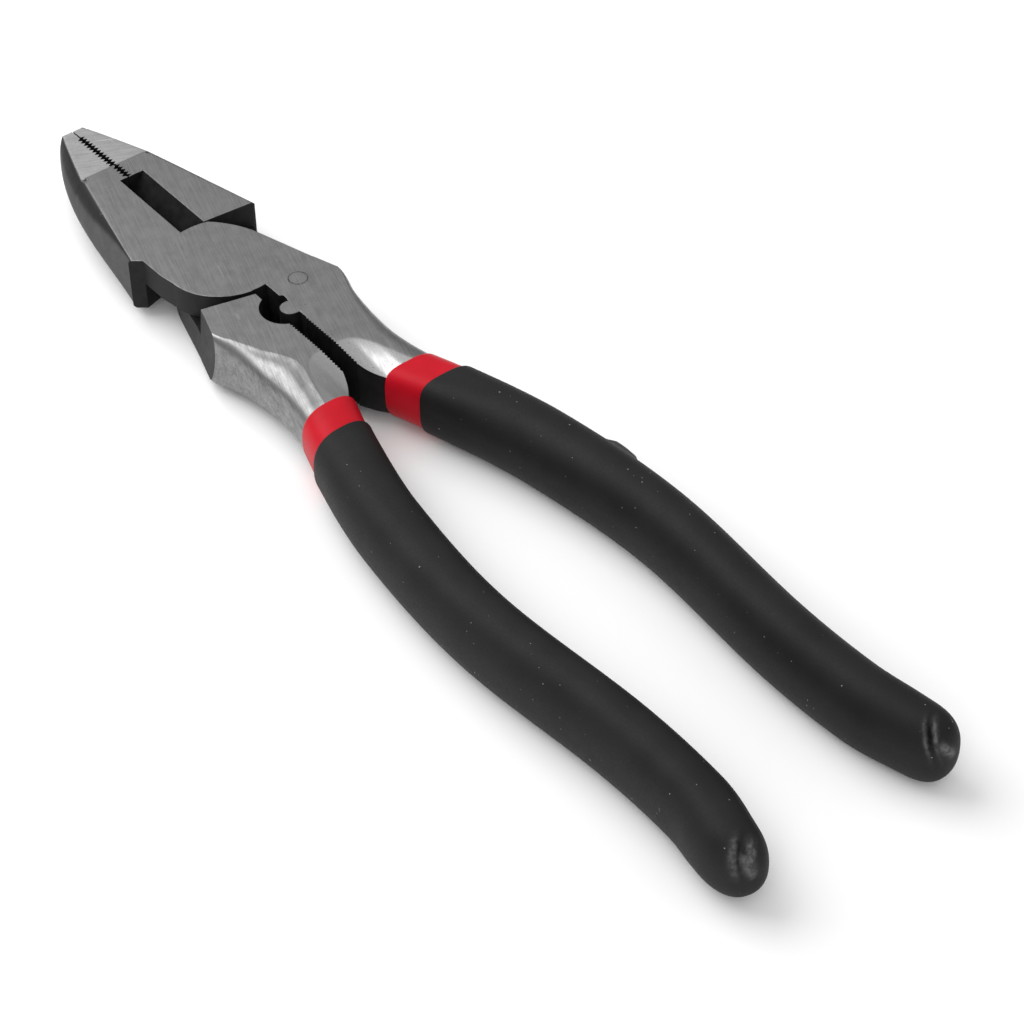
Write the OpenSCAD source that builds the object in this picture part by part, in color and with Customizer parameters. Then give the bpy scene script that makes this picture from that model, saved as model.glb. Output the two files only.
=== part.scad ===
// Lineman pliers with a crimper behind the pivot: two lapped forged halves on a flush
// rivet, each handle covered by a thin red dipped sleeve and a thicker black one.
// Frame: origin on the pivot axis in the plane of the head's underside, +X towards the
// jaw tips, +Y to the side of the right half's jaw, +Z up. All sizes in millimetres.
// The left half is the right half turned over about the X line at mid thickness.

/* [Head] */
// Thickness of the lapped head, face to face
head_thickness = 12.2; // [10:0.1:16]
// Distance from the pivot axis to the jaw tips
tip_x = 56.2; // [48:0.1:66]
// Greatest half width of the head, at the jaw shoulder
head_half_width = 15.4; // [13:0.1:19]
// Half width of the nose wall at the tip
tip_half_width = 3.7; // [2:0.1:7]
// Distance from the pivot axis to the rear shoulder of the jaw
shoulder_x = 11.3; // [9:0.1:14]
// Slope below horizontal of the long bevel on the outer edge of the jaw
flank_bevel_angle = 45; // [30:1:60]
// Step down of the ground nose facet at its rear border
nose_step = 0.3; // [0.1:0.05:1]
// Step down of the ground nose facet at the tip
nose_drop = 0.8; // [0.3:0.05:2]
// Where the ground nose facet begins
nose_x = 40; // [34:0.5:46]

/* [Pivot] */
// Radius of the round hub of each half
hub_radius = 12.4; // [10:0.1:15]
// Gap between the two lapped hub faces
lap_gap = 0.1; // [0.04:0.01:0.3]
// Gap between a hub's edge and the other half's jaw
hub_gap = 0.3; // [0.15:0.05:0.6]
// Radius of the rivet shank
rivet_radius = 4.5; // [3:0.1:6]
// Radial running clearance of the rivet in the left half
rivet_clearance = 0.05; // [0.02:0.01:0.1]
// Radius of the rivet's countersunk ends
rivet_head_radius = 6; // [5:0.1:8]
// Depth of the rivet's countersunk ends
rivet_head_depth = 1.6; // [0.8:0.1:3]

/* [Jaws] */
// Gap between the closed gripping faces
jaw_gap = 0.3; // [0.1:0.02:0.6]
// Pitch of the gripping teeth
tooth_pitch = 1.08; // [0.8:0.02:2]
// Height of the gripping teeth
tooth_height = 0.80; // [0.3:0.05:1.2]
// Extra clearance between the closed teeth, on each side
tooth_relief = 0.48; // [0.1:0.01:0.5]
// Number of teeth in the front set
front_teeth = 12; // [6:1:16]
// Number of teeth in the set next to the cutter
rear_teeth = 4; // [2:1:8]
// Where the cutting knives end towards the tip
knife_front_x = 34.6; // [28:0.1:40]
// Depth of the cutter recess into the jaw on the narrow face
knife_narrow = 2.1; // [1:0.1:4]
// Depth of the cutter recess into the jaw on the wide face
knife_wide = 3.6; // [2:0.1:5]
// Gap between the closed cutting edges
knife_gap = 0.12; // [0.06:0.02:0.4]

/* [Crimper] */
// Distance of each handle's inner edge from the middle line behind the pivot
inner_edge = 1.65; // [1:0.05:3]
// Middle of the indenter and its pocket, measured from the pivot axis
crimp_x = -21; // [-26:0.1:-18]
// Radius of the indenter on the right half
indenter_radius = 2.15; // [1.5:0.05:3]
// Radius of the pocket in the left half
pocket_radius = 5.25; // [4:0.05:7]
// Half width of the pocket's mouth
pocket_half_mouth = 4.75; // [3:0.05:6]
// Number of fine ridges behind the crimper
ridge_count = 20; // [10:1:30]
// Height of the fine ridges
ridge_height = 0.35; // [0.2:0.05:0.8]
// Where the fine ridges end
ridge_end_x = -42; // [-46:0.1:-36]

/* [Handles] */
// Where the red sleeve begins
red_start_x = -49; // [-52:0.5:-46]
// Where the black sleeve begins
black_start_x = -57; // [-62:0.5:-54]
// Rear end of the black sleeve
handle_end_x = -184; // [-200:1:-160]
// Half width of the grip at its front
grip_half_width = 6.95; // [6:0.05:9]
// Half height of the grip at its front
grip_half_height = 7.2; // [6:0.1:10]
// Thickness of the red sleeve
red_thickness = 0.9; // [0.5:0.1:2]
// Thickness of the black sleeve at its front edge
black_front_thickness = 0.5; // [0.3:0.1:1]
// Thickness of the black sleeve along the grip
black_thickness = 1.3; // [0.8:0.1:3]
// Squareness of the grip's section, where 2 is an ellipse
grip_squareness = 2.3; // [2:0.1:4]
// Front end of the small nub on the outer side of the right grip
nub_x = -89.3; // [-110:0.1:-75]
// Length of the nub
nub_length = 7; // [4:0.5:12]
// Height of the nub above the grip
nub_height = 1.5; // [0.5:0.1:3]

/* [Hidden] */
T = head_thickness;
mid = T / 2;
jg = jaw_gap / 2;
split = mid + lap_gap / 2;
shoulder_pt = [shoulder_x, head_half_width];
// Rear corner of the jaw: a short foot on the right half, a small chamfer on the left
function foot_pt(side) = side > 0 ? [shoulder_x - 1.9, head_half_width - 2.3]
  : [shoulder_x - 0.1, head_half_width - 0.7];
bulge_pt = [40.4, 13.5];
nose_pt = [tip_x, tip_half_width];
red_end_x = handle_end_x + 2.2;
core_end_x = handle_end_x + 10;
sides = 24;

// Sub-part to draw

// ---- curves -------------------------------------------------------------------------

// Slope of the control polyline at knot i
function knot_slope(p, i) =
  i == 0 ? (p[1][1] - p[0][1]) / (p[1][0] - p[0][0])
  : i == len(p) - 1 ? (p[i][1] - p[i - 1][1]) / (p[i][0] - p[i - 1][0])
  : (p[i + 1][1] - p[i - 1][1]) / (p[i + 1][0] - p[i - 1][0]);

// Index of the span that holds x, for knots listed with falling x
function span_of(p, x, i = 0) = i >= len(p) - 2 || x >= p[i + 1][0] ? i : span_of(p, x, i + 1);

// Smooth curve through the knots
function curve(p, x) =
  let (i = span_of(p, x))
  let (a = p[i])
  let (b = p[i + 1])
  let (h = b[0] - a[0])
  let (u = (x - a[0]) / h)
  a[1] * (1 + 2 * u) * (1 - u) * (1 - u) + knot_slope(p, i) * h * u * (1 - u) * (1 - u)
  + b[1] * u * u * (3 - 2 * u) - knot_slope(p, i + 1) * h * u * u * (1 - u);

// Distance of the grip's middle line from the tool's middle line
function offset_y(x) = curve([[-40, 6.6], [-60, 13.35], [-80, 18.15], [-110, 20.95],
                              [-146, 18.5], [-165, 18.75], [-184, 22.8]], x);
function lean(x) = (offset_y(x + 0.5) - offset_y(x - 0.5));
function half_w(x) = curve([[-40, grip_half_width - 0.05], [-60, grip_half_width - 0.15],
                            [-82, grip_half_width - 0.35], [-105, grip_half_width - 0.75],
                            [-130, grip_half_width - 1], [-184, grip_half_width - 1.45]], x);
function half_h(x) = curve([[-40, grip_half_height - 0.1], [-60, grip_half_height + 0.3],
                            [-82, grip_half_height + 0.75], [-105, grip_half_height + 1.05],
                            [-130, grip_half_height + 1.15], [-184, grip_half_height + 0.9]], x);
function ease(u) = u <= 0 ? 0 : u >= 1 ? 1 : u * u * (3 - 2 * u);
// Depth of the red sleeve's outer surface below the black one's
function red_depth(x) =
  black_front_thickness + (black_thickness - black_front_thickness) * ease((black_start_x - x) / 14);
function core_depth(x) = red_depth(x) + red_thickness;

// ---- sections and lofts -------------------------------------------------------------

function spow(v, e) = sign(v) * pow(abs(v), e);
// Rounded section of a grip at x, inset by d and scaled by s
function grip_ring(x, d, s) =
  let (k = 1 / cos(atan(lean(x))))
  [for (j = [0 : sides - 1])
    [x,
     -offset_y(x) + s * (half_w(x) - d) * k * spow(cos(360 * j / sides), 2 / grip_squareness),
     mid + s * (half_h(x) - d) * spow(sin(360 * j / sides), 2 / grip_squareness)]];

// Closed solid through a list of rings that run towards -X
module loft(rings) {
  n = len(rings[0]);
  m = len(rings);
  pts = [for (r = rings) for (p = r) p];
  front = [for (j = [n - 1 : -1 : 0]) j];
  back = [for (j = [0 : n - 1]) (m - 1) * n + j];
  near_tri = [for (i = [0 : m - 2]) for (j = [0 : n - 1])
    [i * n + j, i * n + (j + 1) % n, (i + 1) * n + (j + 1) % n]];
  far_tri = [for (i = [0 : m - 2]) for (j = [0 : n - 1])
    [i * n + j, (i + 1) * n + (j + 1) % n, (i + 1) * n + j]];
  polyhedron(points = pts, faces = concat([front], near_tri, far_tri, [back]), convexity = 6);
}

// Places along a grip where sections are set
stations = [-49, -53, -57, -61, -66, -71, -77, -83, -90, -97, -104, -111, -118, -125,
            -132, -139, -146, -153, -160, -166, -171];
// Narrowing of the section over the rounded end
function end_scale(u) = pow(1 - pow(u, 2.3), 1 / 2.3);

module grip_solid(kind, from_x, to_x) {
  ring_d = function (x) kind == "black" ? 0 : kind == "red" ? red_depth(x) : core_depth(x);
  body = [for (x = stations) if (x <= from_x + 0.01 && x > to_x + 7) grip_ring(x, ring_d(x), 1)];
  end = [for (u = [0, 0.3, 0.55, 0.75, 0.9, 0.98])
    let (x = to_x + 7 - 7 * u)
    grip_ring(x, ring_d(x), end_scale(u))];
  loft(concat(body, end));
}

// Steel core of the handle inside the sleeves
module core_solid() {
  body = [for (x = stations) if (x > core_end_x + 1) grip_ring(x, core_depth(x), 1)];
  loft(concat(body, [grip_ring(core_end_x, core_depth(core_end_x), 1)]));
}

// ---- plan shapes of a half ----------------------------------------------------------

function arc(c, r, a0, a1, n) = [for (i = [0 : n])
  [c[0] + r * cos(a0 + (a1 - a0) * i / n), c[1] + r * sin(a0 + (a1 - a0) * i / n)]];

function backwards(p) = [for (i = [len(p) - 1 : -1 : 0]) p[i]];

// Curved wall of the jaw from the shoulder to the nose
function bez(t) = (1 - t) * (1 - t) * shoulder_pt + 2 * t * (1 - t) * bulge_pt + t * t * nose_pt;

// Tooth line towards -X. The side is +1 on the right half and -1 on the left
function teeth(x0, count, side) = [for (i = [0 : 2 * count])
  [x0 - i * tooth_pitch / 2,
   jg + tooth_relief + side * (i % 2 == 0 ? -1 : 1) * tooth_height / 2]];

function jaw_inner(side) = concat(
  [[tip_x, jg], [tip_x - 2.9, jg]],
  teeth(tip_x - 3.2, front_teeth, side),
  [[tip_x - 3.6 - front_teeth * tooth_pitch, jg]],
  teeth(tip_x - 3.9 - front_teeth * tooth_pitch, rear_teeth, side),
  [[knife_front_x + 0.1, jg], [knife_front_x, knife_gap / 2]]);

// Full-thickness jaw in plan, with its rear edge cleared for the other half's hub
module jaw_plan(side) {
  polygon(concat(
    arc([0, 0], hub_radius + hub_gap, 0.28, 16, 5),
    [foot_pt(side)],
    [for (i = [0 : 20]) bez(i / 20)],
    jaw_inner(side)));
}

function indenter_edge() = concat(
  [[crimp_x + 4.1, -inner_edge], [crimp_x + 3.7, -inner_edge - 0.65],
   [crimp_x + 2.6, -inner_edge - 0.65]],
  arc([crimp_x - 0.3, -1.15], indenter_radius, -24, 200, 14),
  [[crimp_x - 3, -inner_edge - 0.3], [crimp_x - 4, -inner_edge - 0.3]]);

pocket_lift = sqrt(pocket_radius * pocket_radius - pocket_half_mouth * pocket_half_mouth);
pocket_angle = acos(pocket_half_mouth / pocket_radius);
function pocket_edge() =
  arc([crimp_x + 0.45, pocket_lift - inner_edge], pocket_radius, -pocket_angle - 0.5,
      pocket_angle - 179.5, 14);

ridge_start_x = crimp_x - 4.6;
ridge_pitch = (ridge_start_x - ridge_end_x) / ridge_count;
function ridges() = [for (i = [0 : 2 * ridge_count])
  [ridge_start_x - i * ridge_pitch / 2, -inner_edge - (i % 2 == 0 ? ridge_height : 0)]];

// Inner edge of the handle from the hub to the sleeve
function handle_inner(indenter) = concat(
  indenter ? indenter_edge() : pocket_edge(),
  ridges(),
  [[ridge_end_x - 1, -inner_edge - 0.15], [-45, -2.3], [-47, -3], [red_start_x, -3.8]]);

// Outer edge of the handle, from the sleeve to the heel
function tang_outer(x) = -curve([[-16.4, 15.75], [-19, 15.95], [-24, 15.4], [-30, 14.7],
                                 [-38, 14.4], [-44, 15.0], [-49, 16.1]], x);
function handle_outer() = [for (x = [-49, -47, -45, -42, -38.5, -35, -31.5, -28, -25, -22, -20, -18.5,
                                     -17.2]) [x, tang_outer(x)]];

// Hub and handle in plan, in the half's own layer
module own_plan(indenter, side) {
  polygon(concat(
    arc([0, 0], hub_radius, -16.2, asin(knife_narrow / hub_radius), 7),
    [[15, knife_narrow + 0.1], [15, 10], foot_pt(side) + [1, -0.7], foot_pt(side), [3, 12.95]],
    arc([0, 0], hub_radius, 91, 180 + asin(inner_edge / hub_radius), 26),
    handle_inner(indenter),
    handle_outer(),
    [[-13.4, -14.75], [-8, -13.12]],
    arc([-4.3, 10.9], 22, -73.4, -43, 8)));
}

// Full-thickness handle in plan, with a shoulder cleared for the other half's jaw and hub
module handle_plan(indenter) {
  polygon(concat(
    [[-13.45, -inner_edge]],
    handle_inner(indenter),
    handle_outer(),
    [[-16, -14.85], [-10.75, -12.8]]));
}

// Half space above a plane through a plan line, falling to the left of the line pq
module cut_above(p, q, z, angle) {
  translate([p[0], p[1], z])
    rotate([0, 0, atan2(q[1] - p[1], q[0] - p[0])])
      rotate([-angle, 0, 0])
        translate([-60, -60, 0])
          cube([160, 120, 30]);
}

// Half space below the matching plane on the face below
module cut_below(p, q, angle) {
  translate([0, 0, T]) mirror([0, 0, 1]) cut_above(p, q, T, angle);
}

// Bevels on the outer edge of the jaw, one pair behind and one beside the nose
module flank_cuts() {
  cut_above([11.2, 14.8], [39.5, 7.75], T, flank_bevel_angle);
  cut_below([11.2, 14.8], [39.5, 7.75], flank_bevel_angle);
  cut_above([39.5, 8.3], [56.2, 2.0], T, flank_bevel_angle);
  cut_below([39.5, 8.3], [56.2, 2.0], flank_bevel_angle);
}

// Recess beside the knife on one face
module knife_recess(depth) {
  rotate([90, 0, 90])
    linear_extrude(knife_front_x)
      polygon([[-1, mid + 0.15], [knife_gap / 2, mid + 0.15], [depth, T], [depth, T + 1], [-1, T + 1]]);
}

// Ground nose: a slightly lower face from the border to the tip
module nose_cut() {
  translate([0, 30, 0])
    rotate([90, 0, 0])
      linear_extrude(60)
        polygon([[nose_x, T + 1], [nose_x, T - nose_step], [tip_x + 2, T - nose_drop],
                 [tip_x + 2, T + 1]]);
}

// Cuts that round the handle towards the sleeve: a flute on the lap face, a bevel on the
// own face's outer edge, and a gently sloping facet beside the inner edge on both faces
module handle_cuts() {
  // flute on the lap face
  intersection() {
    cut_below([-35.8, -5.7], [-18.4, -15.3], -24);
    cut_below([-49, -9.6], [-30, -9.6], -26);
    translate([-60, -40, -20]) cube([42.5, 60, 60]);
  }
  // outer edge of the own face
  cut_above([-49, -11.6], [-24, -15.5], T, -36);
  // outer edge of the lap face below the flute
  translate([0, 0, 0.1]) cut_below([-49, -12.6], [-26, -14.9], -50);
}

module facet_cuts() {
  cut_above([-47.4, -10.2], [-35.4, -1.9], T, 12);
  cut_below([-47.4, -10.2], [-35.4, -1.9], 12);
}

// Right half: jaw on +Y, handle on -Y, hub in the upper layer
module half(indenter, side) {
  difference() {
    union() {
      difference() {
        linear_extrude(T) jaw_plan(side);
        knife_recess(knife_narrow);
        translate([0, 0, T]) mirror([0, 0, 1]) knife_recess(knife_wide);
        nose_cut();
        translate([0, 0, T]) mirror([0, 0, 1]) nose_cut();
        flank_cuts();
      }
      difference() {
        union() {
          translate([0, 0, split]) linear_extrude(T - split) own_plan(indenter, side);
          linear_extrude(T) handle_plan(indenter);
        }
        handle_cuts();
        facet_cuts();
      }
    }
    children();
  }
  core_solid();
}

module flipped() {
  translate([0, 0, T]) rotate([180, 0, 0]) children();
}

// ---- sub-parts ----------------------------------------------------------------------

module rivet_shape(extra) {
  translate([0, 0, -extra]) cylinder(r = rivet_radius + extra, h = T + 2 * extra, $fn = 96);
  cylinder(r1 = rivet_head_radius + extra, r2 = rivet_radius + extra, h = rivet_head_depth, $fn = 96);
  translate([0, 0, T - rivet_head_depth])
    cylinder(r1 = rivet_radius + extra, r2 = rivet_head_radius + extra, h = rivet_head_depth, $fn = 96);
}

module right_forging() {
  color([0.52, 0.52, 0.53])
    half(true, 1)
      rivet_shape(0);
}

module left_forging() {
  color([0.5, 0.5, 0.51])
    flipped()
      half(false, -1)
        rivet_shape(rivet_clearance);
}

module pivot_rivet() {
  color([0.56, 0.56, 0.57])
    rivet_shape(0);
}

module inner_dip() {
  difference() {
    grip_solid("red", red_start_x, red_end_x);
    core_solid();
  }
}

module outer_dip() {
  difference() {
    grip_solid("black", black_start_x, handle_end_x);
    grip_solid("red", red_start_x, red_end_x);
  }
}

module right_inner_dip() {
  color([0.78, 0.07, 0.14])
    inner_dip();
}

module left_inner_dip() {
  color([0.78, 0.07, 0.14])
    flipped()
      inner_dip();
}

// Small nub moulded on the outer side of the right grip
module nub() {
  function skin(x) = -offset_y(x) - 0.96 * half_w(x);
  translate([0, 0, mid + 1.9])
    linear_extrude(3.4)
      polygon([[nub_x, skin(nub_x) + 0.8],
               [nub_x - 0.2, skin(nub_x) - nub_height],
               [nub_x - 0.4 * nub_length, skin(nub_x) - nub_height - 0.3],
               [nub_x - 0.85 * nub_length, skin(nub_x - nub_length) - 0.8 * nub_height],
               [nub_x - nub_length, skin(nub_x - nub_length) - 0.5 * nub_height],
               [nub_x - nub_length, skin(nub_x - nub_length) + 0.8]]);
}

module right_outer_dip() {
  color([0.12, 0.12, 0.12]) {
    outer_dip();
    nub();
  }
}

module left_outer_dip() {
  color([0.12, 0.12, 0.12])
    flipped()
      outer_dip();
}

right_forging();
left_forging();
pivot_rivet();
right_inner_dip();
right_outer_dip();
left_inner_dip();
left_outer_dip();
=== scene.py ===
"""Lineman pliers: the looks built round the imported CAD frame.

Lengths are millimetres until a mesh is made. The tool lies flat: +X to the jaw tips, +Y to
the side of the right half's jaw, +Z up, with the pivot axis through the origin. The left
half is the right half turned over about the X line at mid thickness, so every shape is
described once for the right half and turned over for the left.
"""
import math

import bmesh
import bpy
from mathutils import Matrix, Vector


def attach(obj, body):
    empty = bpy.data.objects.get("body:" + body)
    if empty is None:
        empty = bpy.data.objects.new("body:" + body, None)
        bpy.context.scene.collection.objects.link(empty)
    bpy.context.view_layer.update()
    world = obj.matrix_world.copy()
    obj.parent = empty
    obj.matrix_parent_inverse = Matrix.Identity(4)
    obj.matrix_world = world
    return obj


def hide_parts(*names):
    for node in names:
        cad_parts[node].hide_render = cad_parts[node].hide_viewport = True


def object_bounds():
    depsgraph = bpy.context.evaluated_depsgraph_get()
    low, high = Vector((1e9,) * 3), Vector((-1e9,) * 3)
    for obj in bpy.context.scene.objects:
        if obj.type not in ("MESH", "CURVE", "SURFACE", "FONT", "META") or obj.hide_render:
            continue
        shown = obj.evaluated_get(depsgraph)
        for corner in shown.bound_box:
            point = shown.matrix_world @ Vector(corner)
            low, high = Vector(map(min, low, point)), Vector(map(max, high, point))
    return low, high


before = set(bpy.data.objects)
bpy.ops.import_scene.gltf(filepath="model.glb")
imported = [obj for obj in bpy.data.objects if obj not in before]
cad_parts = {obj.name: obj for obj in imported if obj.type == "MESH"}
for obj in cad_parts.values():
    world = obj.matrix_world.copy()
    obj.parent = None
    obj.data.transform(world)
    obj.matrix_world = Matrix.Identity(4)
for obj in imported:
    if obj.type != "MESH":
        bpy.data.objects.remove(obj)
cad_low, cad_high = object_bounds()

MM = 0.001

# ---- sizes, as in the CAD -------------------------------------------------------------

THICK = 12.2            # head thickness
MID = THICK / 2
INNER_EDGE = 1.65       # handle's inner edge behind the pivot
RIDGE_START = -25.6     # fine ridges behind the crimper
RIDGE_END = -42.0
RIDGE_COUNT = 20
RIDGE_HEIGHT = 0.35
RED_START = -49.0       # front edge of the red sleeve
BLACK_START = -57.0     # front edge of the black sleeve
HANDLE_END = -184.0
TIP_X = 56.2            # jaw tips
TIP_HALF_WIDTH = 3.7
NOSE_X = 40.0           # where the ground nose begins
SHOULDER = (11.3, 15.4)  # rear corner of the jaw's flank
BULGE = (40.4, 13.5)    # control point of the flank's curve
STRIP = 0.5             # width of the face that belongs to the rounded flank piece
EDGE_BREAK = 0.12       # rounding of the crisp edges

JAW_REAR = 11.2         # rear end of the jaw
TEETH_X = 34.4          # rear end of the gripping teeth
NOSE_DROP = 0.3         # step down to the ground nose, and its further fall towards the tip
NOSE_FALL = 0.5
HEEL_OWN_X = -11        # where the handle piece takes over from the head, in each layer
HEEL_LAP_X = -10.6
HEEL_Y = -8
HEAD_END = RIDGE_START - 0.05
COVERED_EDGE = 8.0      # inner edge of the handle piece where the head fills the inside
RING_AT = (-14.8, -7.7, THICK)
RING_RADIUS = 1.95

# Middle line and half sizes of the grip, as (x, value) knots with falling x
GRIP_OFFSET = [(-40, 6.6), (-60, 13.35), (-80, 18.15), (-110, 20.95), (-146, 18.5),
               (-165, 18.75), (-175, 20.5), (-184, 22.4)]
GRIP_HALF_W = [(-40, 7.10), (-60, 7.0), (-82, 6.8), (-105, 6.4), (-130, 6.15),
               (-165, 5.95), (-175, 5.5), (-184, 4.9)]
GRIP_HALF_H = [(-40, 7.4), (-60, 7.8), (-82, 8.25), (-105, 8.55), (-130, 8.65),
               (-165, 8.5), (-175, 8.15), (-184, 7.6)]
# Outer edge of the handle between the heel and the sleeve
HANDLE_OUTER = [(-10, 16.7), (-18.5, 16.6), (-21, 16.2), (-24, 15.4), (-30, 14.7),
                (-38, 14.4), (-44, 15.0), (-49, 16.0), (-53, 17.2)]
# Where the flute on the lap face begins, and where the rounding of the own face begins
LAP_BORDER = [(-10, 15.3), (-18.4, 15.1), (-23.2, 13.0), (-28.3, 10.9), (-33.2, 8.0),
              (-36.6, 7.4), (-42, 8.8), (-48, 10.3), (-53, 11.5)]
OWN_BORDER = [(-11, 16.2), (-18.4, 15.7), (-23.2, 13.9), (-28.3, 12.4), (-33.2, 11.2),
              (-38, 10.3), (-44, 10.4), (-49, 11.2), (-53, 12.0)]
# Inner edge of the handle behind the ridges, on the own face and on the lap face
OWN_INNER = [(-42, 1.65), (-43, 1.8), (-45, 2.2), (-47, 2.9), (-49, 3.9), (-51, 4.9)]
LAP_INNER = [(-42, 1.65), (-43, 1.9), (-45, 2.7), (-47, 3.7), (-49, 5.0), (-51, 6.2)]
# Border of the gently sloping facet beside the inner edge, as (distance from the middle line, x)
FACET_BORDER = [(1.5, -35.2), (3.6, -35.6), (5.4, -36.5), (7.3, -39.1), (8.6, -42.6),
                (10.2, -47.4), (12, -52)]
FACET_SLOPE = 0.10
# Flat nose wall of the handle: a point on the lap face and the outward normal, with draft
NOSE_WALL_AT = (-10.78, -12.82, 0)
NOSE_WALL_NORMAL = Vector((0.31, -0.951, -0.09)).normalized()
# Shoulder of the lap layer in front of the crimper: a point and the outward direction
LAP_SHOULDER = ((-13.45, -INNER_EDGE, 0), (11.15, 2.7, 0))

# Ends of the black grips, right and left: how much the end leans with the distance out, how
# much its outer side hollows, how far it is drawn back, and how much one side is flattened
END_SHAPE = {"right": (0.15, 0.03, -0.5, 0.0), "left": (0.34, 0.07, 1.0, 0.08)}
# Their dimples: direction from the middle line as (out, up), middle along x, shift and tilt
DIMPLE = {"right": ((-0.59, 0.81), -180.9, -0.9, 1.7), "left": ((0.18, -0.98), -182.4, -0.3, 0.7)}
DRIP_X = -183.4         # last drop of the dip

# Finish of the steel
LINES = 0.55            # strength of the grinding lines
GRAIN = 0.25            # height of the fine grain
MOTTLE = 0.30           # share of the slow mottle and of the fine grain in the tone
SCRATCHES_AT = 30       # angle of the scratches where there are no grinding lines


def curve(knots, x):
    """Smooth curve through the knots, with the slope at a knot taken from its neighbours."""
    n = len(knots)
    i = 0
    step = 1 if knots[1][0] > knots[0][0] else -1
    while i < n - 2 and (x - knots[i + 1][0]) * step > 0:
        i += 1

    def slope(k):
        a, b = max(k - 1, 0), min(k + 1, n - 1)
        return (knots[b][1] - knots[a][1]) / (knots[b][0] - knots[a][0])

    (x0, y0), (x1, y1) = knots[i], knots[i + 1]
    h = x1 - x0
    u = (x - x0) / h
    return (y0 * (1 + 2 * u) * (1 - u) ** 2 + slope(i) * h * u * (1 - u) ** 2
            + y1 * u * u * (3 - 2 * u) - slope(i + 1) * h * u * u * (1 - u))


def ease(u):
    u = min(max(u, 0.0), 1.0)
    return u * u * (3 - 2 * u)


def mix(a, b, u):
    return a + (b - a) * u


# ---- meshes ----------------------------------------------------------------------------

def turn_over(p):
    """Place on the left half of a point given for the right half."""
    return (p[0], -p[1], THICK - p[2])


def new_object(name, points, faces, left=False, smooth=True):
    if left:
        points = [turn_over(p) for p in points]
    mesh = bpy.data.meshes.new(name)
    mesh.from_pydata([Vector(p) * MM for p in points], [], faces)
    mesh.validate()
    mesh.update()
    obj = bpy.data.objects.new(name, mesh)
    bpy.context.scene.collection.objects.link(obj)
    for f in mesh.polygons:
        f.use_smooth = smooth
    return obj


def loft(rings):
    """Points and faces of a closed tube through rings of equal length, with flat ends."""
    n = len(rings[0])
    last = (len(rings) - 1) * n
    points = [p for ring in rings for p in ring]
    faces = [(i * n + j, i * n + (j + 1) % n, (i + 1) * n + (j + 1) % n, (i + 1) * n + j)
             for i in range(len(rings) - 1) for j in range(n)]
    faces += [tuple(reversed(range(n))), tuple(range(last, last + n))]
    return points, faces


def sharpen(obj, degrees):
    """Smooth shading with sharp edges wherever faces meet at more than the angle."""
    bm = bmesh.new()
    bm.from_mesh(obj.data)
    for f in bm.faces:
        f.smooth = True
    for e in bm.edges:
        e.smooth = len(e.link_faces) == 2 and e.calc_face_angle(0) < math.radians(degrees)
    bm.to_mesh(obj.data)
    bm.free()
    even = obj.modifiers.new("even", "WEIGHTED_NORMAL")
    even.keep_sharp = True
    graph = bpy.context.evaluated_depsgraph_get()
    mesh = bpy.data.meshes.new_from_object(obj.evaluated_get(graph))
    obj.modifiers.clear()
    obj.data = mesh


# ---- materials -------------------------------------------------------------------------

class Nodes:
    """Short names for building one node material."""

    def __init__(self, name):
        self.mat = bpy.data.materials.new(name)
        self.mat.use_nodes = True
        self.tree = self.mat.node_tree
        self.bsdf = self.tree.nodes["Principled BSDF"]
        self.coord = self.tree.nodes.new("ShaderNodeTexCoord").outputs["Object"]

    def link(self, a, b):
        self.tree.links.new(a, b)

    def new(self, kind, **props):
        node = self.tree.nodes.new(kind)
        for key, value in props.items():
            setattr(node, key, value)
        return node

    def mapped(self, rotation_z=0.0, scale=(1, 1, 1)):
        """Object coordinates in millimetres, turned about Z and then scaled."""
        turn = self.new("ShaderNodeMapping", vector_type="TEXTURE")
        turn.inputs["Rotation"].default_value = (0, 0, math.radians(rotation_z))
        self.link(self.coord, turn.inputs["Vector"])
        size = self.new("ShaderNodeMapping", vector_type="POINT")
        size.inputs["Scale"].default_value = [s / MM for s in scale]
        self.link(turn.outputs["Vector"], size.inputs["Vector"])
        return size.outputs["Vector"]

    def attribute(self, name):
        return self.new("ShaderNodeAttribute", attribute_name=name).outputs["Fac"]

    def noise(self, vector, scale, detail, rough):
        node = self.new("ShaderNodeTexNoise")
        node.inputs["Scale"].default_value = scale
        node.inputs["Detail"].default_value = detail
        node.inputs["Roughness"].default_value = rough
        self.link(vector, node.inputs["Vector"])
        return node.outputs["Fac"]

    def span(self, value, low, high, out_low, out_high):
        """Maps low..high of the value to out_low..out_high, and holds it outside."""
        node = self.new("ShaderNodeMapRange", clamp=True)
        keys = ("From Min", "From Max", "To Min", "To Max")
        for key, number in zip(keys, (low, high, out_low, out_high)):
            node.inputs[key].default_value = number
        self.link(value, node.inputs["Value"])
        return node.outputs["Result"]

    def math(self, op, a, b):
        node = self.new("ShaderNodeMath", operation=op)
        for socket, value in zip(node.inputs, (a, b)):
            if isinstance(value, (int, float)):
                socket.default_value = value
            else:
                self.link(value, socket)
        return node.outputs[0]

    def blend(self, factor, a, b):
        """Colour a where the factor is 0 and b where it is 1."""
        node = self.new("ShaderNodeMix", data_type="RGBA")
        self.link(factor, node.inputs["Factor"])
        for socket, value in ((node.inputs[6], a), (node.inputs[7], b)):
            if hasattr(value, "links"):
                self.link(value, socket)
            else:
                socket.default_value = (*value, 1)
        return node.outputs[2]

    def bump(self, height, strength, distance, normal=None):
        node = self.new("ShaderNodeBump")
        node.inputs["Strength"].default_value = strength
        node.inputs["Distance"].default_value = distance * MM
        self.link(height, node.inputs["Height"])
        if normal is not None:
            self.link(normal, node.inputs["Normal"])
        return node.outputs["Normal"]


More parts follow.
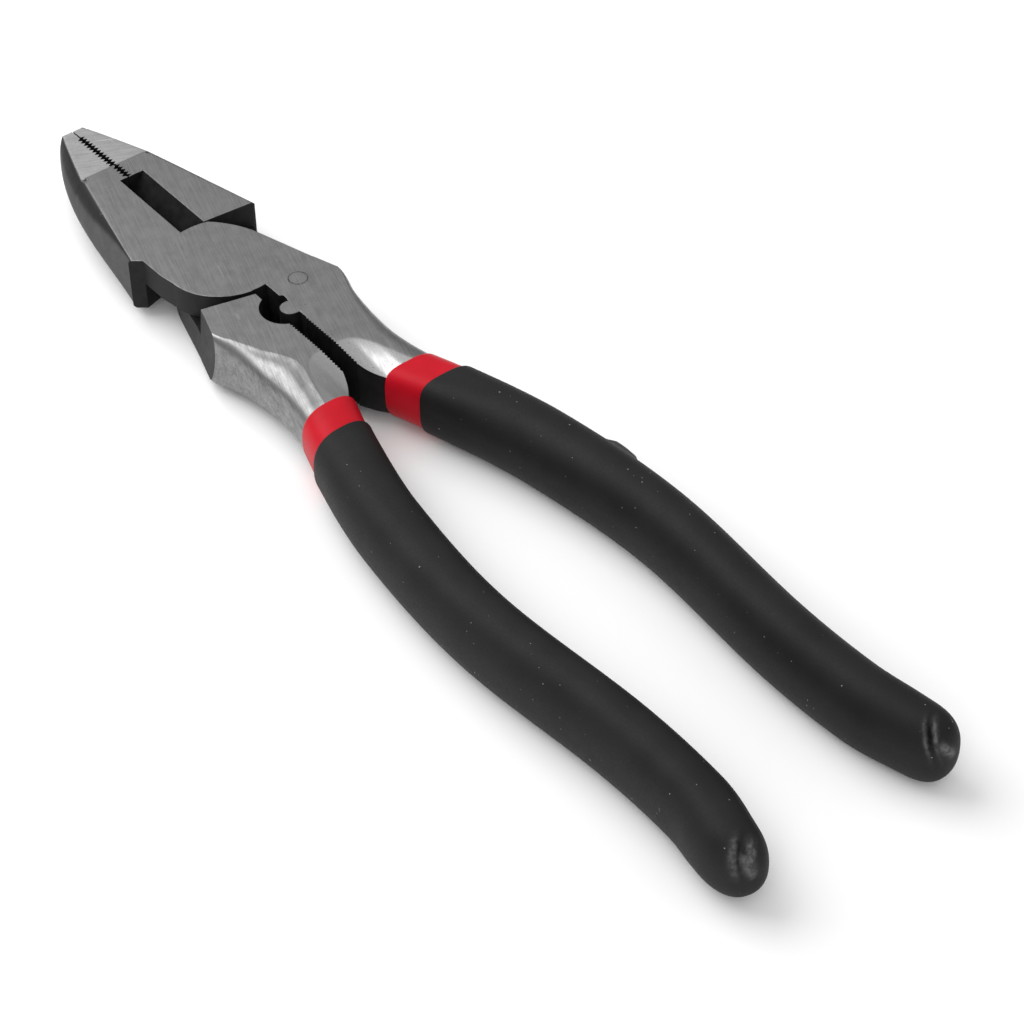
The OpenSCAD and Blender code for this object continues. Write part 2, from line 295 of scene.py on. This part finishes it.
def steel(name, light, dark, rough, lines_at=None, bright=None, dim=None, ring=False, edge=1.0):
    """Ground steel: grinding lines at an angle in plan, fine grain, pits and a mottled tone.
    Where bright is given, a point attribute paints a highlight: it brings the tone up to bright,
    with a little less roughness. A second point attribute paints shade, bringing the tone down
    to dim. edge is the tone at grazing angles."""
    m = Nodes(name)
    plain = m.mapped()
    mottle = m.noise(plain, 0.35, 4.0, 0.6)
    fine = m.noise(plain, 5.0, 3.0, 0.6)
    tone = m.math("ADD", m.math("MULTIPLY", mottle, MOTTLE), m.math("MULTIPLY", fine, MOTTLE))
    height = m.math("MULTIPLY", fine, GRAIN)
    span = (0.20, 0.40)
    if lines_at is not None:
        streaks = m.noise(m.mapped(lines_at, (0.10, 3.2, 1.0)), 1.0, 4.0, 0.7)
        tone = m.math("ADD", tone, m.math("MULTIPLY", streaks, LINES))
        height = m.math("ADD", height, m.math("MULTIPLY", streaks, LINES))
        span = (0.46, 0.70)
    colour = m.blend(m.span(tone, *span, 0, 1), (dark,) * 3, (light,) * 3)
    roughness = m.span(tone, *span, rough + 0.07, rough - 0.07)
    if bright is not None:
        # painted highlight and painted shade, from the mesh's point attributes
        painted_highlight, painted_shade = m.attribute("painted_highlight"), m.attribute("painted_shade")
        grey = m.span(tone, *span, 0, 1)
        colour = m.blend(painted_shade, colour, m.blend(grey, (dim * 0.85,) * 3, (dim * 1.15,) * 3))
        colour = m.blend(painted_highlight, colour, m.blend(grey, (bright * 0.8,) * 3, (bright,) * 3))
        roughness = m.math("SUBTRACT", roughness, m.math("MULTIPLY", painted_highlight, 0.10))
    pits = m.span(m.noise(plain, 1.6, 2.0, 0.5), 0.70, 0.76, 0, 0.6)
    colour = m.blend(pits, colour, (dark * 0.5,) * 3)
    along = m.mapped(lines_at or SCRATCHES_AT, (0.12, 1.3, 1.0))
    scratch = m.span(m.noise(along, 1.0, 1.0, 0.4), 0.735, 0.76, 0, 0.45)
    colour = m.blend(scratch, colour, (light * 1.35,) * 3)
    if ring:
        colour = m.blend(ring_mark(m), colour, (0.045, 0.034, 0.031))
    m.link(colour, m.bsdf.inputs["Base Color"])
    m.link(roughness, m.bsdf.inputs["Roughness"])
    m.link(m.bump(height, 0.35, 0.03), m.bsdf.inputs["Normal"])
    m.bsdf.inputs["Metallic"].default_value = 1.0
    m.bsdf.inputs["Specular Tint"].default_value = (edge, edge, edge, 1)
    return m.mat


def ring_mark(m):
    """Faint plain etched ring on the right half's own face."""
    at = m.new("ShaderNodeVectorMath", operation="SUBTRACT")
    m.link(m.mapped(), at.inputs[0])
    at.inputs[1].default_value = RING_AT
    length = m.new("ShaderNodeVectorMath", operation="LENGTH")
    m.link(at.outputs[0], length.inputs[0])
    off = m.math("ABSOLUTE", m.math("SUBTRACT", length.outputs["Value"], RING_RADIUS), 0)
    worn = m.span(m.noise(m.mapped(), 2.5, 2.0, 0.5), 0.35, 0.6, 0.45, 1.0)
    return m.math("MULTIPLY", m.span(off, 0.08, 0.18, 1, 0), worn)


def black_oxide(name, tone, gloss):
    """Forged skin: nearly black, dull, uneven, with a few rubbed spots."""
    m = Nodes(name)
    plain = m.mapped()
    mottle = m.noise(plain, 0.5, 4.0, 0.6)
    rubbed = m.span(m.noise(plain, 2.2, 5.0, 0.7), 0.66, 0.78, 0, 1)
    colour = m.blend(m.span(mottle, 0.35, 0.65, 0, 1), (tone * 0.7,) * 3, (tone * 1.3,) * 3)
    m.link(m.blend(rubbed, colour, (tone * 3.5,) * 3), m.bsdf.inputs["Base Color"])
    m.link(m.span(mottle, 0.3, 0.7, 0.5, 0.62), m.bsdf.inputs["Roughness"])
    m.link(m.bump(m.noise(plain, 3.0, 4.0, 0.6), 0.4, 0.05), m.bsdf.inputs["Normal"])
    m.bsdf.inputs["Specular IOR Level"].default_value = gloss
    return m.mat


def dip(name, colour, dark, rough, grain, speckle, gloss):
    """Dipped vinyl: soft grain, slow waves in the coat, and a few light specks."""
    m = Nodes(name)
    plain = m.mapped()
    waves = m.noise(plain, 0.12, 2.0, 0.5)
    skin = m.noise(plain, 2.6, 3.0, 0.6)
    base = m.blend(m.span(waves, 0.3, 0.7, 0, 1), dark, colour)
    if speckle:
        specks = m.span(m.noise(plain, 1.7, 1.0, 0.3), 0.803, 0.818, 0, 1)
        base = m.blend(specks, base, (0.25, 0.25, 0.25))
    roughness = m.span(skin, 0.3, 0.7, rough - 0.05, rough + 0.07)
    if speckle:
        # the drip at the end is glossier, in flecks, and the flecks' colour is lifted to light
        # grey as a painted highlight
        patches = m.span(m.noise(plain, 0.9, 3.0, 0.6), 0.40, 0.58, 0.35, 1)
        glint_flecks = m.math("MULTIPLY", m.attribute("gloss_and_glint"), patches)
        base = m.blend(glint_flecks, base, (0.13, 0.13, 0.13))
        roughness = m.math("SUBTRACT", roughness, m.math("MULTIPLY", glint_flecks, 0.32))
    m.link(base, m.bsdf.inputs["Base Color"])
    m.link(roughness, m.bsdf.inputs["Roughness"])
    normal = m.bump(waves, 0.25, 0.3)
    m.link(m.bump(skin, grain, 0.05, normal), m.bsdf.inputs["Normal"])
    m.bsdf.inputs["Specular IOR Level"].default_value = gloss
    return m.mat


GROUND = steel("ground_face", 0.295, 0.165, 0.40, lines_at=-18, ring=True)
NOSE = steel("ground_nose", 0.58, 0.34, 0.38, lines_at=62)
# on the flank and the tang, bright is the painted highlight's tone and dim the painted shade's
FLANK = steel("flank_wall", 0.140, 0.108, 0.42, bright=0.165, edge=0.50, dim=0.060)
TANG = steel("tang_face", 0.295, 0.165, 0.40, lines_at=-18, bright=0.40, ring=True, dim=0.135)
NOSE_WALL = steel("handle_nose", 0.095, 0.070, 0.42, edge=0.5)
OXIDE = black_oxide("black_oxide", 0.012, 0.16)
# black oxide, a little darker and duller, as painted shade in recesses, between the halves and
# inside the lap joint
SHADED_OXIDE = black_oxide("oxide_painted_shade", 0.011, 0.12)
RED = dip("red_vinyl", (0.52, 0.008, 0.020), (0.44, 0.006, 0.014), 0.40, 0.10, False, 0.10)
BLACK = dip("black_vinyl", (0.012,) * 3, (0.008,) * 3, 0.60, 0.60, True, 0.20)

FORGING_MATERIALS = [GROUND, NOSE, FLANK, TANG, NOSE_WALL, OXIDE, SHADED_OXIDE]


# ---- forgings --------------------------------------------------------------------------

def facet_drop(x, y):
    """How far the sloping facet lies below the face, y being the distance from the middle line."""
    y = min(max(y, 1.5), 12)
    start = curve(FACET_BORDER, y)
    lean = (curve(FACET_BORDER, y + 0.2) - curve(FACET_BORDER, y - 0.2)) / 0.4
    return max(0.0, start - x) / math.hypot(1, lean) * FACET_SLOPE


def bezier(p0, p1, p2, p3, u):
    v = 1 - u
    return tuple(v * v * v * a + 3 * v * v * u * b + 3 * v * u * u * c + u * u * u * d
                 for a, b, c, d in zip(p0, p1, p2, p3))


def tang_ring(x, y_mid, y_in, own):
    """Section at x of one layer of the handle, from the inner edge y_in over the face to the
    outer wall at mid thickness and back to y_mid; own is the layer of the half's own face.
    The last numbers of a point are a painted highlight, on the sloping facet and in a streak on
    the lap face's flute, and a painted shade in the flute's middle. y is the distance from the
    middle line."""
    flat_steps, round_steps = 20, 14
    outer = curve(HANDLE_OUTER, x)
    border = min(curve(OWN_BORDER if own else LAP_BORDER, x), outer - 0.3)
    crease = math.radians(5 if own else 17)
    face = [mix(y_in, border, i / flat_steps) for i in range(flat_steps + 1)]
    # the sloping facet is painted lighter: a painted highlight
    section = [(y, facet_drop(x, y), ease(facet_drop(x, y) / 0.05), 0) for y in face]
    start, facet_highlight = section[-1][:2], section[-1][2]
    reach = outer - border
    p1 = (start[0] + 0.55 * reach * math.cos(crease), start[1] + 0.55 * reach * math.sin(crease))
    p2 = (outer, start[1] + 0.45 * mix(MID, 1.2, ease(reach / 7)))
    open_flute = ease((-22 - x) / 8)
    for i in range(1, round_steps + 1):
        u = i / round_steps
        y, d = bezier(start, p1, p2, (outer, MID), u)
        # on the lap face, painted shade in the flute's upper middle and a painted highlight streak
        # below it
        painted_shade = streak = 0
        if not own:
            painted_shade = open_flute * ease((u - 0.02) / 0.1) * (1 - ease((u - 0.20) / 0.16))
            streak = 0.28 * ease((u - 0.22 * open_flute) / 0.12) * (1 - ease((u - 0.45) / 0.2))
        section.append((y, d, max(streak, facet_highlight * (1 - ease(u / 0.3))), painted_shade))
    section += [(mix(outer, y_mid, 0.5), MID, 0, 0), (y_mid, MID, 0, 0)]
    return [(x, -y, THICK - d if own else d, painted_highlight, painted_shade) for y, d, painted_highlight, painted_shade in section]


def trim(bm, place, outward):
    """Cuts everything off outside a plane and closes the cut with flat faces."""
    cut = bmesh.ops.bisect_plane(bm, geom=bm.verts[:] + bm.edges[:] + bm.faces[:], dist=1e-4,
                                 plane_co=place, plane_no=outward, clear_outer=True)
    rim = [e for e in cut["geom_cut"] if isinstance(e, bmesh.types.BMEdge)]
    bmesh.ops.holes_fill(bm, edges=rim)


def tang(name, left):
    """Handle from behind the heel to inside the sleeve, with smoothly blended sides."""
    # places along x, with the inner edge on the own face and on the lap face
    places = [(HEEL_OWN_X - 0.73 * i, COVERED_EDGE, COVERED_EDGE) for i in range(21)]
    pitch = (RIDGE_START - RIDGE_END) / RIDGE_COUNT
    for i in range(2 * RIDGE_COUNT + 1):
        edge = INNER_EDGE + (RIDGE_HEIGHT if i % 2 == 0 else 0.0)
        places.append((HEAD_END - i * pitch / 2, edge, edge))
    rear = (-42.6, -43.4, -44.2, -45, -46, -46.8, -47.6, -48.4, -49, -49.6, -50.2)
    places += [(x, curve(OWN_INNER, x), curve(LAP_INNER, x)) for x in rear]
    bm = bmesh.new()
    # painted highlight and painted shade, per point
    painted_highlight, painted_shade = bm.verts.layers.float.new("painted_highlight"), bm.verts.layers.float.new("painted_shade")
    for own in (False, True):
        front = [] if own else [(HEEL_LAP_X + 0.1, COVERED_EDGE, COVERED_EDGE)]
        rings = [tang_ring(x, mid, mid if own else lap, own) for x, mid, lap in front + places]
        points, faces = loft(rings)
        verts = [bm.verts.new(p[:3]) for p in points]
        for v, p in zip(verts, points):
            v[painted_highlight], v[painted_shade] = p[3:]
        for f in faces:
            bm.faces.new([verts[i] for i in f])
        if not own:
            trim(bm, *LAP_SHOULDER)
    trim(bm, NOSE_WALL_AT, NOSE_WALL_NORMAL)
    bmesh.ops.remove_doubles(bm, verts=bm.verts, dist=0.002)
    # where the two layers meet
    hidden = [f for f in bm.faces if f.calc_center_median().x < -20
              and all(abs(v.co.z - MID) < 0.001 for v in f.verts)]
    bmesh.ops.delete(bm, geom=hidden, context="FACES")
    if left:
        for v in bm.verts:
            v.co = turn_over(v.co)
    bmesh.ops.scale(bm, vec=(MM, MM, MM), verts=bm.verts)
    bmesh.ops.recalc_face_normals(bm, faces=bm.faces)
    mesh = bpy.data.meshes.new(name)
    bm.to_mesh(mesh)
    bm.free()
    obj = bpy.data.objects.new(name, mesh)
    bpy.context.scene.collection.objects.link(obj)
    return obj


def right_side_view(p, n, left):
    """A face's centre and normal as they are on the right half."""
    if left:
        return Vector(turn_over(p)), Vector((n.x, -n.y, -n.z))
    return p, n


def forging_material(p, n):
    """Finish of a face of a half, from its place in millimetres and its normal."""
    flat = abs(n.z)
    if flat > 0.99 and abs(p.z - MID) < 0.3:
        return SHADED_OXIDE  # painted shade: the lap plane inside the joint gets the dark oxide
    if flat > 0.9999:
        return GROUND
    if p.x > 39.5 and flat > 0.97:
        return NOSE
    if flat > 0.2 and min(p.z, THICK - p.z) < 0.2 and abs(p.y) > 1.5:
        return GROUND  # broken edges beside the ground faces
    if 10 < p.x < 34.8 and abs(p.y) < 4.2:
        return SHADED_OXIDE  # the cutter's window: oxide, a little darker as painted shade
    if p.x < 2 and p.y < -8 and flat < 0.15 and n.y < -0.9:
        return NOSE_WALL
    # between the jaws, and on the inner side behind the pivot: oxide with painted shade
    if p.x > TEETH_X and abs(p.y) < 1.2:
        return SHADED_OXIDE
    if p.x < -10 and p.y > -6:
        return SHADED_OXIDE
    return OXIDE


def flank_material(p, n):
    if abs(n.z) > 0.97:
        return NOSE if p.x > NOSE_X else GROUND
    return NOSE_WALL if n.x < -0.9 else FLANK


def tang_material(p, n):
    if n.dot(NOSE_WALL_NORMAL) > 0.995 and p.x > -21:
        return NOSE_WALL
    # walls facing the other half in front of the sleeve: oxide with painted shade
    if n.y > 0.3 and abs(n.z) < 0.5:
        return SHADED_OXIDE if p.x > -42.5 else OXIDE
    return TANG


def paint(obj, left, rule):
    for m in FORGING_MATERIALS:
        obj.data.materials.append(m)
    for f in obj.data.polygons:
        p, n = right_side_view(f.center / MM, f.normal, left)
        f.material_index = FORGING_MATERIALS.index(rule(p, n))


def top_of_jaw(x):
    """Height of the jaw's face at x: the ground nose is a little lower."""
    if x < NOSE_X:
        return THICK
    return THICK - NOSE_DROP - NOSE_FALL * (x - NOSE_X) / (TIP_X + 2 - NOSE_X)


def along_jaw(x, rear, nose, tip):
    """Value at x that runs straight from the jaw's rear to the nose, and on to the tip."""
    if x < NOSE_X:
        return mix(rear, nose, (x - JAW_REAR) / (NOSE_X - JAW_REAR))
    return mix(nose, tip, (x - NOSE_X) / (TIP_X - NOSE_X))


def flank_edge(x):
    """Distance from the middle line of the face's outer edge along the jaw, at full height."""
    return along_jaw(x, 14.8, 7.7, 1.9)


def strip_line(x):
    """Distance from the middle line of the seam between the face and the flank piece."""
    return along_jaw(x, 14.8, 7.65, 2.4) - STRIP


def flank_wall(x):
    """Distance from the middle line of the flank's widest line along the jaw."""
    low, high = 0.0, 1.0
    for _ in range(40):
        t = (low + high) / 2
        at = (1 - t) ** 2 * SHOULDER[0] + 2 * t * (1 - t) * BULGE[0] + t * t * TIP_X
        low, high = (t, high) if at < x else (low, t)
    return (1 - t) ** 2 * SHOULDER[1] + 2 * t * (1 - t) * BULGE[1] + t * t * TIP_HALF_WIDTH


def flank_ring(x):
    """Section of the jaw's outer strip at x: a rounded flank between the two faces."""
    steps = 14
    edge, wall, top = flank_edge(x), flank_wall(x), top_of_jaw(x)
    reach = wall - edge
    p1 = (edge + 0.40 * reach, 0.28 * reach)
    p2 = (wall, 0.50 * MID)

    def whole(u):
        return bezier((edge, 0.0), p1, p2, (wall, MID), u)

    # the curve starts where it passes the face's height, which is lower on the nose
    low, high = 0.0, 1.0
    for _ in range(30):
        u = (low + high) / 2
        low, high = (u, high) if whole(u)[1] < THICK - top else (low, u)
    begin = whole(u)[0]
    side = [(begin - 0.10, THICK - top), (begin + 0.02, THICK - top + 0.04)]
    side += [whole(mix(u, 1, i / steps)) for i in range(1, steps + 1)]
    upper = [(strip_line(x), THICK - top)] + side
    ring = [(x, y, THICK - d) for y, d in upper]
    return ring + [(x, y, d) for y, d in reversed(upper[:-1])]


def flank(name, left):
    """Rounded outer strip of the jaw, from the shoulder to the tip."""
    xs = [SHOULDER[0] + (NOSE_X - SHOULDER[0]) * i / 24 for i in range(25)]
    xs += [NOSE_X + 0.01 + (TIP_X - NOSE_X - 0.41) * i / 14 for i in range(15)]
    xs += [TIP_X - 0.2, TIP_X]
    rings = [flank_ring(x) for x in xs]
    points, faces = loft(rings)
    obj = new_object(name, points, faces, left)
    # painted shade: a band next to the faces is darker than the middle of the wall, and narrows
    # to the rear; the rows beside the faces get a painted highlight
    half = len(rings[0]) // 2
    painted_shade, painted_highlight = [], []
    for x in xs:
        band = mix(1.5, 6.5, ease((x - 11) / 26))
        for j in range(len(rings[0])):
            depth = half - abs(j - half)
            painted_shade.append(1 - ease((depth - 2 - band) / 2.5))
            painted_highlight.append(1 if depth < 3 else 0)
    for key, values in (("painted_shade", painted_shade), ("painted_highlight", painted_highlight)):
        obj.data.attributes.new(key, "FLOAT", "POINT").data.foreach_set("value", values)
    return obj


def in_handle(p):
    return p.x < HEAD_END or (p.x < (HEEL_OWN_X if p.z > MID else HEEL_LAP_X) and p.y < HEEL_Y)


def in_flank(p):
    return p.x > SHOULDER[0] and p.y > strip_line(p.x)


def head(name, node, left):
    """The forging's head and hub. The handle behind the heel and the jaw's outer strip are
    cut away, because smoother pieces stand there, and the remaining edges are broken."""
    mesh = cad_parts[node].data.copy()
    mesh.materials.clear()
    bm = bmesh.new()
    bm.from_mesh(mesh)
    for v in bm.verts:
        p = v.co / MM
        v.co = Vector(turn_over(p)) if left else p
    bmesh.ops.remove_doubles(bm, verts=bm.verts, dist=0.002)
    bmesh.ops.dissolve_limit(bm, angle_limit=math.radians(0.4), verts=bm.verts, edges=bm.edges)
    corner = Vector((NOSE_X, strip_line(NOSE_X), 0))
    planes = [((HEAD_END, 0, 0), (1, 0, 0)), ((HEEL_OWN_X, 0, 0), (1, 0, 0)),
              ((0, HEEL_Y, 0), (0, 1, 0)), ((SHOULDER[0], 0, 0), (1, 0, 0))]
    for x in (JAW_REAR, TIP_X):
        along = Vector((x, strip_line(x), 0)) - corner
        planes.append((corner, (-along.y, along.x, 0)))
    for place, normal in planes:
        bmesh.ops.bisect_plane(bm, geom=bm.verts[:] + bm.edges[:] + bm.faces[:], dist=1e-5,
                               plane_co=place, plane_no=normal)
    middles = [(f, f.calc_center_median()) for f in bm.faces]
    gone = [f for f, p in middles if in_handle(p) or in_flank(p)]
    bmesh.ops.delete(bm, geom=gone, context="FACES")
    bmesh.ops.dissolve_limit(bm, angle_limit=math.radians(0.4), verts=bm.verts, edges=bm.edges)
    for v in bm.verts:
        # the wall beside the heel leans like the handle's nose wall
        if -11.3 < v.co.x < -7.5 and v.co.y < -11.5 and abs(v.co.z - MID) < 0.15:
            v.co.y -= NOSE_WALL_NORMAL.dot(v.co - Vector(NOSE_WALL_AT)) / NOSE_WALL_NORMAL.y
    broken = [e for e in bm.edges if len(e.link_faces) == 2 and breaks(e)]
    bmesh.ops.bevel(bm, geom=broken, offset=EDGE_BREAK, segments=2, profile=0.6, affect="EDGES",
                    clamp_overlap=False)
    for v in bm.verts:
        v.co = Vector(turn_over(v.co) if left else v.co) * MM
    bmesh.ops.recalc_face_normals(bm, faces=bm.faces)
    bm.to_mesh(mesh)
    bm.free()
    obj = bpy.data.objects.new(name, mesh)
    bpy.context.scene.collection.objects.link(obj)
    return obj


def breaks(edge):
    """Edges that are rounded a little: crisp, convex, and clear of the teeth and ridges."""
    if edge.calc_face_angle_signed(0) < math.radians(28) or edge.calc_length() < 0.3:
        return False
    p = (edge.verts[0].co + edge.verts[1].co) / 2
    near_rivet = math.hypot(p.x, p.y) < 7
    return not near_rivet and not (abs(p.y) < 1.4 and p.x > TEETH_X) and p.x > HEAD_END + 0.35


def forging(side, left):
    body = side + "_half"
    node = side + "_forging"
    parts = [(head(side + "_head", node, left), forging_material),
             (flank(side + "_flank", left), flank_material),
             (tang(side + "_tang", left), tang_material)]
    for obj, rule in parts:
        paint(obj, left, rule)
        sharpen(obj, 24)
        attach(obj, body)
        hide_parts(node)


# ---- grips -----------------------------------------------------------------------------

def spow(v, e):
    return math.copysign(abs(v) ** e, v)


def squareness(x, inner_own):
    """Exponent of the section: squarer at the collar, most of all at the corner between
    the inner side and the own face."""
    if inner_own:
        return mix(4.5, 2.3, ease((-51 - x) / 24))
    return mix(2.6, 2.3, ease((-55 - x) / 18))


def red_depth(x):
    return 0.5 + 0.8 * ease((BLACK_START - x) / 14)


def grip_ring(x, depth, scale, sides):
    """Section of the grip at x: a rounded rectangle, inset by depth and scaled."""
    middle = curve(GRIP_OFFSET, x)
    stretch = math.hypot(1, curve(GRIP_OFFSET, x + 0.5) - curve(GRIP_OFFSET, x - 0.5))
    square = squareness(x, False)
    w = (curve(GRIP_HALF_W, x) - 0.6 * (square - 2) - depth) * stretch * scale
    h = (curve(GRIP_HALF_H, x) - 0.8 * (square - 2) - depth) * scale
    ring = []
    for j in range(sides):
        a = 2 * math.pi * j / sides
        e = 2 / squareness(x, math.cos(a) > 0 and math.sin(a) > 0)
        ring.append((x, w * spow(math.cos(a), e) - middle, MID + h * spow(math.sin(a), e)))
    return ring


def bell(v, width):
    return math.exp(-(v / width) ** 2)


def shape_end(x, out, up, side):
    """Turns the end square to the grip's path: it leans, hollows, draws back and flattens."""
    lean, hollow, back, flatten = END_SHAPE[side]
    moved = x + lean * out * ease((-150 - x) / 25)
    moved += hollow * max(out, 0) ** 2 * ease((-168 - x) / 10)
    moved += back * ease((-166 - x) / 16)
    if up > 0:
        up *= 1 - flatten * ease((-168 - x) / 12)
    return moved, up


def dimple(x, out, up, side):
    """Depth of the pinched dimple where the dip dripped off, and how much gloss and painted
    highlight the skin gets there.
    """
    along, middle, shift, tilt = DIMPLE[side]
    reach = out * along[0] + up * along[1]
    if reach <= 0:
        return 0.0, 0.0
    sideways = out * along[1] - up * along[0]
    across = sideways + shift - tilt * (x - middle)
    place = ease(reach / 2.5) * bell(x - middle, 1.9) * bell(sideways + shift, 2.5)
    lump = 0.75 + 0.35 * math.sin(3.1 * x + 1.3 * across)
    slit = 1.15 * bell(across, 0.85)
    rims = 0.55 * lump * bell(abs(across) - 1.5, 0.6)
    drip = bell(x - DRIP_X, 0.8) * bell(sideways - 0.4, 0.8) * ease(reach / 1.5)
    # the rims and the last drop get gloss and a painted highlight
    gloss_and_glint = max(min(1.25 * place, 1) * bell(abs(across) - 1.5, 0.7), drip)
    return place * (slit - rims) - 0.45 * drip, gloss_and_glint


def nub(x, up):
    """Height of the nub on the right grip's outer side."""
    rise = ease((-90.1 - x) / 0.45) * ease((x + 98.0) / 2.6) * mix(1, 0.68, ease((-92 - x) / 5))
    return 1.35 * rise * ease((up - 0.9) / 1.4) * ease((6.6 - up) / 2.6)


def dip_details(p, side):
    """Moves a point of the black sleeve's skin, and gives how much gloss and painted highlight
    it gets.
    """
    x, out, up, gloss_and_glint = p[0], -p[1] - curve(GRIP_OFFSET, p[0]), p[2] - MID, 0.0
    if p[0] < -150:
        x, up = shape_end(x, out, up, side)
        dent, gloss_and_glint = dimple(p[0], out, up, side)
        along = DIMPLE[side][0]
        x += 0.6 * dent
        out -= 0.9 * dent * along[0]
        up -= 0.9 * dent * along[1]
    if side == "right" and -100 < x < -88 and out > 2:
        out += nub(x, up)
    return (x, -out - curve(GRIP_OFFSET, p[0]), MID + up), gloss_and_glint


def sleeve(name, side, start, end, depth_at, details):
    """Dipped sleeve with a rolled front lip, given as insets at distances behind the front.
    With details it has the black sleeve's closed end, dimple and nub, and without them it
    just runs on under the black one."""
    lip = [(0.25, 2.0), (0.0, 0.5), (0.03, 0.28), (0.12, 0.12), (0.28, 0.03), (0.5, 0.0)]
    sides = 120 if details else 80
    rings = [grip_ring(start - dx, depth_at(start) + d, 1, sides) for dx, d in lip]
    x = start - 1.2
    while x > end + 7.4:
        rings.append(grip_ring(x, depth_at(x), 1, sides))
        x -= 0.25 if details and -99 < x < -88 else 1.0
    if details:
        steps, length, blunt = 40, 7, 2.8
        for i in range(steps + 1):
            u = math.sin(math.pi / 2 * i / steps)
            x = end + length - length * u
            scale = max(0.004, (1 - u ** blunt) ** (1 / blunt))
            rings.append(grip_ring(x, depth_at(x), scale, sides))
    points, faces = loft(rings)
    # gloss and painted highlight of the drip's flecks, per point
    gloss_and_glint = [0.0] * len(points)
    if details:
        points, gloss_and_glint = zip(*[dip_details(p, side) for p in points])
    obj = new_object(name, points, faces, side == "left")
    obj.data.attributes.new("gloss_and_glint", "FLOAT", "POINT").data.foreach_set("value", gloss_and_glint)
    sharpen(obj, 50)
    return obj


def grips(side):
    red = sleeve(side + "_red_sleeve", side, RED_START, -80, red_depth, False)
    black = sleeve(side + "_black_sleeve", side, BLACK_START, HANDLE_END, lambda x: 0.0, True)
    for obj, material, slot, node in ((red, RED, "red_dip", "_inner_dip"),
                                      (black, BLACK, "black_dip", "_outer_dip")):
        obj.data.materials.append(material)
        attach(obj, side + "_half")
        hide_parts(side + node)


for side in ("right", "left"):
    forging(side, side == "left")
    grips(side)

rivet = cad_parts["pivot_rivet"]
rivet.data.materials.clear()
rivet.data.materials.append(GROUND)

# ---- floor, light and camera -----------------------------------------------------------

FLOOR_HALF = 1500
FLOOR_GAP = 0.1         # below the lowest point of the part
corners = ((-1, -1), (1, -1), (1, 1), (-1, 1))
floor_z = cad_low.z / MM - FLOOR_GAP
floor = new_object("floor", [(x * FLOOR_HALF, y * FLOOR_HALF, floor_z) for x, y in corners],
                   [(0, 1, 2, 3)], smooth=False)
paper = Nodes("paper_floor")
tint = paper.noise(paper.mapped(), 0.004, 2.0, 0.5)
paper.link(paper.blend(tint, (0.93,) * 3, (0.95,) * 3), paper.bsdf.inputs["Base Color"])
paper.bsdf.inputs["Roughness"].default_value = 0.9
paper.bsdf.inputs["Specular IOR Level"].default_value = 0.1
floor.data.materials.append(paper.mat)


def softbox(name, place, size, power):
    """Square soft light that faces the middle of the part, with its place in metres."""
    target = (-0.06, 0, 0.006)
    light = bpy.data.lights.new(name, "AREA")
    light.shape, light.size, light.energy = "SQUARE", size, power
    obj = bpy.data.objects.new(name, light)
    obj.location = place
    obj.rotation_euler = (Vector(target) - Vector(place)).to_track_quat("-Z", "Y").to_euler()
    bpy.context.scene.collection.objects.link(obj)


softbox("overhead", (0.30, 0.16, 0.50), 0.60, 3.2)
softbox("fill", (-0.7, 0.5, 0.7), 0.8, 3.0)

world = bpy.data.worlds.new("studio")
bpy.context.scene.world = world
world.use_nodes = True
nodes, links = world.node_tree.nodes, world.node_tree.links
# dim below the horizon and bright overhead
direction = nodes.new("ShaderNodeTexCoord")
height = nodes.new("ShaderNodeSeparateXYZ")
links.new(direction.outputs["Generated"], height.inputs[0])
ramp = nodes.new("ShaderNodeValToRGB")
stops = ramp.color_ramp.elements
stops[0].color, stops[1].color = (0.24, 0.24, 0.24, 1), (0.78, 0.78, 0.78, 1)
for place, grey in ((0.25, 0.34), (0.55, 0.60)):
    stops.new(place).color = (grey, grey, grey, 1)
links.new(height.outputs["Z"], ramp.inputs["Fac"])
links.new(ramp.outputs["Color"], nodes["Background"].inputs["Color"])
nodes["Background"].inputs["Strength"].default_value = 1.0

# right, down and forward as the camera sees them
CAMERA_AT = Vector((-0.40933, 0.24617, 0.38678))
right = Vector((-0.62246, -0.78255, -0.01289))
down = Vector((-0.53039, 0.43388, -0.72831))
ahead = Vector((0.57553, -0.44651, -0.68513))
turn = Matrix((right, -down, -ahead)).transposed()
camera_data = bpy.data.cameras.new("camera")
camera_data.sensor_width = 36
camera_data.lens = 105.91
camera_data.shift_x, camera_data.shift_y = 0.0016, 0.0010
camera_data.clip_start, camera_data.clip_end = 0.05, 20
camera = bpy.data.objects.new("camera", camera_data)
camera.matrix_world = Matrix.Translation(CAMERA_AT) @ turn.to_4x4()
bpy.context.scene.collection.objects.link(camera)
bpy.context.scene.camera = camera
bpy.context.scene.view_settings.view_transform = "Standard"
